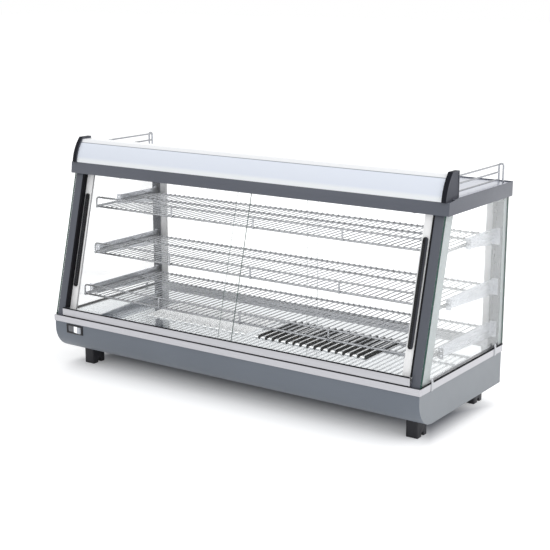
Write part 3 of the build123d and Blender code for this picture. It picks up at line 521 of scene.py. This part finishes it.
def turnBy(piece, *angles):
    piece.rotation_euler = [math.radians(angle) for angle in angles]


def block(name, low, high):
    release()
    middle = [(a + b) / 2 for a, b in zip(low, high)]
    bpy.ops.mesh.primitive_cube_add(size=1, location=middle)
    piece = label(name)
    piece.scale = [b - a for a, b in zip(low, high)]
    return settle(piece)


def drum(name, radius, depth, sides):  # stands on the origin, along Z
    release()
    bpy.ops.mesh.primitive_cylinder_add(vertices=sides, radius=radius, depth=depth,
                                        location=(0, 0, depth / 2))
    return settle(label(name))


def choose(piece, test):  # leaves edit mode on, with the faces that pass the test selected
    grab(piece)
    bpy.ops.object.mode_set(mode="EDIT")
    bpy.ops.mesh.select_mode(type="FACE")
    bpy.ops.mesh.select_all(action="DESELECT")
    bpy.ops.object.mode_set(mode="OBJECT")
    for face in piece.data.polygons:
        face.select = test(face.center, face.normal)
    bpy.ops.object.mode_set(mode="EDIT")


def chooseAll(piece):
    choose(piece, lambda centre, normal: True)


def push(shift):
    bpy.ops.mesh.extrude_region_move(TRANSFORM_OT_translate={"value": shift})


def inset(thickness):
    bpy.ops.mesh.inset(thickness=thickness, depth=0)


def finishWith(piece, kind, **values):  # a modifier, applied at once
    grab(piece)
    modifier = piece.modifiers.new(kind.lower(), kind)
    for name, value in values.items():
        setattr(modifier, name, value)
    bpy.ops.object.modifier_apply(modifier=modifier.name)


def ease(piece, width, segments=2, angle=bench["crisp"]):
    finishWith(piece, "BEVEL", width=width, segments=segments, limit_method="ANGLE",
               angle_limit=math.radians(angle))


def carve(piece, cutter):
    finishWith(piece, "BOOLEAN", operation="DIFFERENCE", solver="EXACT", object=cutter)
    bpy.data.objects.remove(cutter)


def twin(piece, name, turn=(0, 0, 0), shift=(0, 0, 0), mirrored=False):
    grab(piece)
    bpy.ops.object.duplicate()
    other = label(name)
    turnBy(other, *turn)
    other.location = shift
    other.scale.x = -1 if mirrored else 1
    settle(other)
    if mirrored:
        chooseAll(other)
        bpy.ops.mesh.normals_make_consistent(inside=False)
        release()
    return other


def solidCopy(name, node, flat=True):  # a solid's shape, merged, to be worked further
    piece = bpy.data.objects.new(name, nodes[node].data.copy())
    bpy.context.collection.objects.link(piece)
    piece.data.name = name
    grab(piece)
    bpy.ops.mesh.customdata_custom_splitnormals_clear()
    chooseAll(piece)
    bpy.ops.mesh.remove_doubles(threshold=bench["merge"])
    if flat:
        bpy.ops.mesh.dissolve_limited(angle_limit=math.radians(bench["flat"]))
    release()
    return piece


def fit(piece, body, finish, replaced=None):
    grab(piece)
    bpy.ops.object.shade_smooth_by_angle(angle=math.radians(bench["smooth"]))
    paint(piece, finish)
    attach(piece, body)
    if replaced:
        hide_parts(replaced)


# pressed, moulded and extruded parts: the solid's own form with its edges eased;
# each piece has the solid that it is made from and the body that it rides on
eased = {
    "canopy": {
        "slot": "base_paint", "finish": "canopyPaint", "width": 0.0010, "segments": 2,
        "flat": False, "pieces": {"canopyFrame": ("canopy_frame", "case")}},
    "upright": {
        "slot": "frame_paint", "finish": "framePaint", "width": 0.0010, "segments": 2,
        "pieces": {"uprightLeft": ("front_upright_left", "case"),
                   "uprightRight": ("front_upright_right", "case")}},
    "foot": {
        "slot": "foot_plastic", "finish": "footPlastic", "width": 0.0014, "segments": 3,
        "pieces": {"footFrontLeft": ("foot_front_left", "case"),
                   "footFrontRight": ("foot_front_right", "case"),
                   "footRearLeft": ("foot_rear_left", "case"),
                   "footRearRight": ("foot_rear_right", "case")}},
    "bezel": {
        "slot": "black_plastic", "finish": "blackPlastic", "width": 0.0007, "segments": 2,
        "pieces": {"lightSwitchBezel": ("light_switch_housing", "case"),
                   "heatSwitchBezel": ("heat_switch_housing", "case")}},
    "lightRocker": {
        "slot": "rocker_plastic", "finish": "lightRocker", "width": 0.0005, "segments": 2,
        "pieces": {"lightSwitchRocker": ("light_switch_rocker", "light_switch")}},
    "heatRocker": {
        "slot": "rocker_plastic", "finish": "heatRocker", "width": 0.0005, "segments": 2,
        "pieces": {"heatSwitchRocker": ("heat_switch_rocker", "heat_switch")}},
    "knob": {
        "slot": "black_plastic", "finish": "blackPlastic", "width": 0.0005, "segments": 2,
        "pieces": {"dialKnob": ("thermostat_knob", "thermostat_dial")}},
    "handle": {
        "slot": "black_plastic", "finish": "gripPlastic", "width": 0.0003, "segments": 2,
        "pieces": {"handleLeft": ("front_door_left_handle", "front_door_left"),
                   "handleRight": ("front_door_right_handle", "front_door_right")}},
}


def makeEased(slot, finish, width, segments, pieces, flat=True):
    for name, (node, body) in pieces.items():
        piece = solidCopy(name, node, flat)
        ease(piece, width, segments)
        fit(piece, body, finish, node)


for values in eased.values():
    makeEased(**values)
print("eased parts:", sum(len(values["pieces"]) for values in eased.values()))


# ribs of the door handles, slanted, on the half towards the middle of the door
rib = {"inner": 0.5462, "outer": 0.5528, "proud": 0.0005, "sunk": 0.0010, "height": 0.0017,
       "round": 0.00035, "pitch": 0.0050, "count": 50, "slant": 24, "rake": 14.0,
       "start": (-0.20498, 0.2500), "leftShift": (0, 0.01068, -0.00266)}


def makeRibs():
    half = (rib["outer"] - rib["inner"]) / 2
    bars = block("handleRibsRight", (-half, -rib["proud"], -rib["height"] / 2),
                 (half, rib["sunk"], rib["height"] / 2))
    ease(bars, rib["round"])
    turnBy(bars, 0, rib["slant"], 0)
    settle(bars)
    finishWith(bars, "ARRAY", count=rib["count"], use_relative_offset=False,
               use_constant_offset=True, constant_offset_displace=(0, 0, rib["pitch"]))
    turnBy(bars, -rib["rake"], 0, 0)
    bars.location = ((rib["inner"] + rib["outer"]) / 2, *rib["start"])
    settle(bars)
    other = twin(bars, "handleRibsLeft", shift=rib["leftShift"], mirrored=True)
    fit(bars, "front_door_right", "gripRib")
    fit(other, "front_door_left", "gripRib")


makeRibs()
print("handle ribs made")


# header end caps: a moulded cheek whose flange laps over the end of the header
cap = {"flange": 0.0042, "edge": 0.0016, "edgeSteps": 3, "edgeAngle": 50, "recess": 0.0009,
       "border": 0.0042, "near": 0.0005}


def makeHeaderCaps():
    right = solidCopy("headerCapRight", "header_cap_right")
    inner = min(point.co.x for point in right.data.vertices) + cap["near"]
    choose(right, lambda centre, normal: centre.x < inner and normal.x < -bench["square"])
    push((-cap["flange"], 0, 0))
    outer = max(point.co.x for point in right.data.vertices) - cap["near"]
    choose(right, lambda centre, normal: centre.x > outer and normal.x > bench["square"])
    inset(cap["border"])
    push((-cap["recess"], 0, 0))
    release()
    ease(right, cap["edge"], cap["edgeSteps"], cap["edgeAngle"])
    left = twin(right, "headerCapLeft", mirrored=True)
    fit(right, "case", "capPlastic", "header_cap_right")
    fit(left, "case", "capPlastic", "header_cap_left")


makeHeaderCaps()
print("header caps made")


# lower front track: a tall front lip with low grooves behind it, so the floor shows right over
# the lip; each wall is its front, its rear and its rise above the bed
track = {"half": 0.5690, "front": -0.2315, "rear": -0.1798, "low": 0.1570, "bed": 0.1600,
         "round": 0.0004,
         "walls": ((-0.2315, -0.2288, 0.0188), (-0.2242, -0.2213, 0.0088),
                   (-0.2137, -0.2100, 0.0088), (-0.2024, -0.1996, 0.0080))}


def makeTrack():
    piece = block("frontTrack", (-track["half"], track["front"], track["low"]),
                  (track["half"], track["rear"], track["bed"]))
    cuts = {y for wall in track["walls"] for y in wall[:2]} - {track["front"]}
    for y in sorted(cuts):
        chooseAll(piece)
        bpy.ops.mesh.bisect(plane_co=(0, y, 0), plane_no=(0, 1, 0))
    for start, end, rise in track["walls"]:
        choose(piece, lambda centre, normal: normal.z > bench["square"] and start < centre.y < end)
        push((0, 0, rise))
    release()
    ease(piece, track["round"])
    fit(piece, "case", "trackAluminium", "front_lower_track")


makeTrack()
print("front track made")


# black strips of the track: the wiper on its lip, and on the trim a black strip that is painted
# shade, standing in for the shadow gap under the track
strips = {"wiperLow": (-0.5680, -0.2315, 0.1785), "wiperHigh": (0.5680, -0.2283, 0.1802),
          "blade": 0.0016, "bladeInset": 0.0008, "wiperRound": 0.0002,
          "shadowStripLow": (-0.5690, -0.2324, 0.1570), "shadowStripHigh": (0.5690, -0.2313, 0.1590),
          "shadowStripRound": 0.0004}


def makeStrips():
    wiper = block("trackWiper", strips["wiperLow"], strips["wiperHigh"])
    choose(wiper, lambda centre, normal: normal.z > bench["square"])
    inset(strips["bladeInset"])
    push((0, 0, strips["blade"]))
    release()
    ease(wiper, strips["wiperRound"])
    # painted shade: a black strip on the trim where the track's shadow gap falls
    shadowStrip = block("trackPaintedShadow", strips["shadowStripLow"], strips["shadowStripHigh"])
    ease(shadowStrip, strips["shadowStripRound"])
    for piece in (wiper, shadowStrip):
        fit(piece, "case", "sealRubber")


makeStrips()
print("track strips made")


# end caps of the light strip
lampEnd = {"low": (0.4770, -0.0682, 0.5430), "high": (0.4840, -0.0326, 0.5597),
           "border": 0.004, "recess": 0.0012, "round": 0.0015, "roundSteps": 3}


def makeLampEnds():
    right = block("lampEndRight", lampEnd["low"], lampEnd["high"])
    choose(right, lambda centre, normal: normal.x > bench["square"])
    inset(lampEnd["border"])
    push((-lampEnd["recess"], 0, 0))
    release()
    ease(right, lampEnd["round"], lampEnd["roundSteps"])
    for piece in (right, twin(right, "lampEndLeft", mirrored=True)):
        fit(piece, "case", "stileCoat")


makeLampEnds()
print("lamp ends made")


# pan-head screws with a cross slot, modelled once; each set has its turn and its corner places
screw = {"radius": 0.0034, "height": 0.0017, "sides": 24, "round": 0.0008, "roundSteps": 3,
         "slotHalf": 0.00045, "slotReach": 0.0021, "slotFloor": 0.0007, "slotTop": 0.0027}
screwSets = {
    "plateScrew": {"turn": (-90, 0, 0), "x": (0.2700, 0.5440), "y": (0.22365,),
                   "z": (0.0700, 0.1260)},
    "roofScrew": {"turn": (0, 0, 0), "x": (-0.5600, 0.5600), "y": (-0.0850, 0.2080),
                  "z": (0.5940,)},
    "coverScrew": {"turn": (180, 0, 0), "x": (-0.4940, 0.4940), "y": (-0.1565, 0.1925),
                   "z": (0.0532,)},
}


def makeScrewPattern():
    pattern = drum("screwPattern", screw["radius"], screw["height"], screw["sides"])
    ease(pattern, screw["round"], screw["roundSteps"])
    half, reach = screw["slotHalf"], screw["slotReach"]
    low, high = screw["slotFloor"], screw["slotTop"]
    along = block("slotAlong", (-reach, -half, low), (reach, half, high))
    across = block("slotAcross", (-half, -reach, low), (half, reach, high))
    carve(pattern, along)
    carve(pattern, across)
    return pattern


def makeScrews():
    pattern = makeScrewPattern()
    for name, made in screwSets.items():
        places = [(x, y, z) for x in made["x"] for y in made["y"] for z in made["z"]]
        for number, place in enumerate(places, 1):
            copy = twin(pattern, name + str(number), made["turn"], place)
            fit(copy, "case", "screwSteel")
        print(name + "s made:", len(places))
    bpy.data.objects.remove(pattern)


makeScrews()


# thermostat: a pointer on the knob, and the dial's marks and figures on the plate;
# angles are clockwise from straight up, as seen from behind the case
dial = {"x": 0.330, "z": 0.098, "face": 0.22365, "from": -135, "sweep": 270,
        "figures": (30, 40, 50, 60, 70, 80, 90), "figureRing": 0.0300, "figureSize": 0.0052,
        "markIn": 0.0225, "markOut": 0.0255, "figureMarkOut": 0.0267, "markHalf": 0.0004,
        "ink": 0.00012}


def makeMark(angle, reach):
    mark = block("dialMark", (-dial["markHalf"], 0, dial["markIn"]),
                 (dial["markHalf"], dial["ink"], reach))
    turnBy(mark, 0, -angle, 0)
    mark.location = (dial["x"], dial["face"], dial["z"])
    return settle(mark)


def makeFigure(angle, figure):
    turn = math.radians(angle)
    x = dial["x"] - math.sin(turn) * dial["figureRing"]
    z = dial["z"] + math.cos(turn) * dial["figureRing"]
    release()
    bpy.ops.object.text_add(location=(x, dial["face"] + dial["ink"] / 2, z),
                            rotation=(math.pi / 2, 0, math.pi))
    word = bpy.context.object
    word.data.body = str(figure)
    word.data.size = dial["figureSize"]
    word.data.align_x = "CENTER"
    word.data.align_y = "CENTER"
    word.data.extrude = dial["ink"] / 2
    grab(word)
    bpy.ops.object.convert(target="MESH")
    return settle(bpy.context.object)


def makeDial():
    gaps = (len(dial["figures"]) - 1) * 2
    angles = [dial["from"] + dial["sweep"] * number / gaps for number in range(gaps + 1)]
    marks = [makeMark(angle, dial["markOut"] if number % 2 else dial["figureMarkOut"])
             for number, angle in enumerate(angles)]
    marks += [makeFigure(angle, figure) for angle, figure in zip(angles[::2], dial["figures"])]
    grab(*marks)
    bpy.ops.object.join()
    fit(label("dialFigures"), "case", "printInk")


pointer = {"inner": 0.0060, "outer": 0.0180, "half": 0.0009, "foot": 0.2396, "top": 0.24035,
           "round": 0.00025}


def makePointer():
    piece = block("dialPointer", (-pointer["half"], 0, pointer["inner"]),
                  (pointer["half"], pointer["top"] - pointer["foot"], pointer["outer"]))
    ease(piece, pointer["round"])
    turnBy(piece, 0, -dial["from"], 0)
    piece.location = (dial["x"], pointer["foot"], dial["z"])
    settle(piece)
    fit(piece, "thermostat_dial", "printInk")


makeDial()
makePointer()
print("dial made")


# floor and sky: white to the camera, plain to the object; the floor has a painted shadow, a dark
# patch below the case with less lift
studio = {
    "floorSize": 60.0, "floorColour": (0.93, 0.935, 0.945), "floorRough": 0.85,
    "paintedShadowColour": (0.30, 0.31, 0.35), "paintedShadowHalf": (0.52, 0.02), "paintedShadowFade": (0.10, 0.20),
    "liftNear": 0.34, "liftFar": 0.52, "far": (1.0, 2.6),
    "skyForLight": 0.55, "skyForCamera": 1.0,
}
# soft lamps that look at "aim"; an unmirrored one isn't seen in flat steel
lampAim = (0, 0, 0.3)
lamps = {
    "frontLamp": {"energy": 14.0, "size": (3.0, 3.0), "place": (-1.2, -3.2, 2.4),
                  "mirrored": True},
    "rightLamp": {"energy": 125.0, "size": (6.0, 3.4), "place": (4.0, 0.3, 2.3),
                  "mirrored": True},
    "overLamp": {"energy": 80.0, "size": (6.0, 6.0), "place": (-0.6, 0.6, 4.2),
                 "mirrored": False},
}


def makeFloor():
    f = Finish("studioFloor")
    # painted shadow: a dark patch on the floor below the case, with less lift there
    edges = zip(f.axes(), studio["paintedShadowHalf"], studio["paintedShadowFade"])
    aside, ahead = (abs(axis).step(half, half + fade) for axis, half, fade in edges)
    clear = aside.maths("MAXIMUM", ahead)
    ground = f.shader(
        Base_Color=f.blend(clear, studio["paintedShadowColour"], studio["floorColour"]),
        Roughness=studio["floorRough"], Specular_IOR_Level=0.0)
    distance = f.add("VectorMath", {"operation": "LENGTH"}, {0: f.place}, 1)
    away = distance.step(*studio["far"])
    glow = clear * studio["liftNear"] + away * (studio["liftFar"] - studio["liftNear"])
    lift = f.add("Emission", {}, {"Color": (1, 1, 1), "Strength": f.seen() * glow})
    release()
    bpy.ops.mesh.primitive_plane_add(size=studio["floorSize"], location=(0, 0, 0))
    floor = label("studioFloor")
    floor.data.materials.append(f.done(f.add("AddShader", {}, {0: ground, 1: lift})))


def makeSky():
    f = Finish("studioSky", "worlds")
    plain, white = (f.add("Background", {}, {"Color": (1, 1, 1), "Strength": studio[strength]})
                    for strength in ("skyForLight", "skyForCamera"))
    bpy.context.scene.world = f.done(f.layered(f.seen(), plain, white), "OutputWorld")


def makeLamp(name, energy, size, place, mirrored):
    bpy.ops.object.light_add(type="AREA", location=place)
    lamp = bpy.context.object
    lamp.name = name
    lamp.data.energy = energy
    lamp.data.shape = "RECTANGLE"
    lamp.data.size, lamp.data.size_y = size
    look = Vector(lampAim) - Vector(place)
    lamp.rotation_euler = look.to_track_quat("-Z", "Y").to_euler()
    lamp.visible_glossy = mirrored


# the photograph's own station point, worked out from the case's straight lines
lens = {"place": (1.8989, -2.7055, 1.0962), "turn": 34.814, "dip": 13.389, "focal": 80.62,
        "sensor": 36.0, "reach": 100}


def makeCamera():
    turn, dip = math.radians(lens["turn"]), math.radians(lens["dip"])
    look = Vector((-math.sin(turn) * math.cos(dip), math.cos(turn) * math.cos(dip),
                   -math.sin(dip)))
    bpy.ops.object.camera_add(location=lens["place"])
    camera = bpy.context.object
    camera.rotation_euler = look.to_track_quat("-Z", "Y").to_euler()
    camera.data.lens = lens["focal"]
    camera.data.sensor_width = lens["sensor"]
    camera.data.clip_end = lens["reach"]
    bpy.context.scene.camera = camera


makeFloor()
makeSky()
for name, values in lamps.items():
    makeLamp(name, **values)
makeCamera()
bpy.context.scene.view_settings.view_transform = "Standard"
print("studio ready")
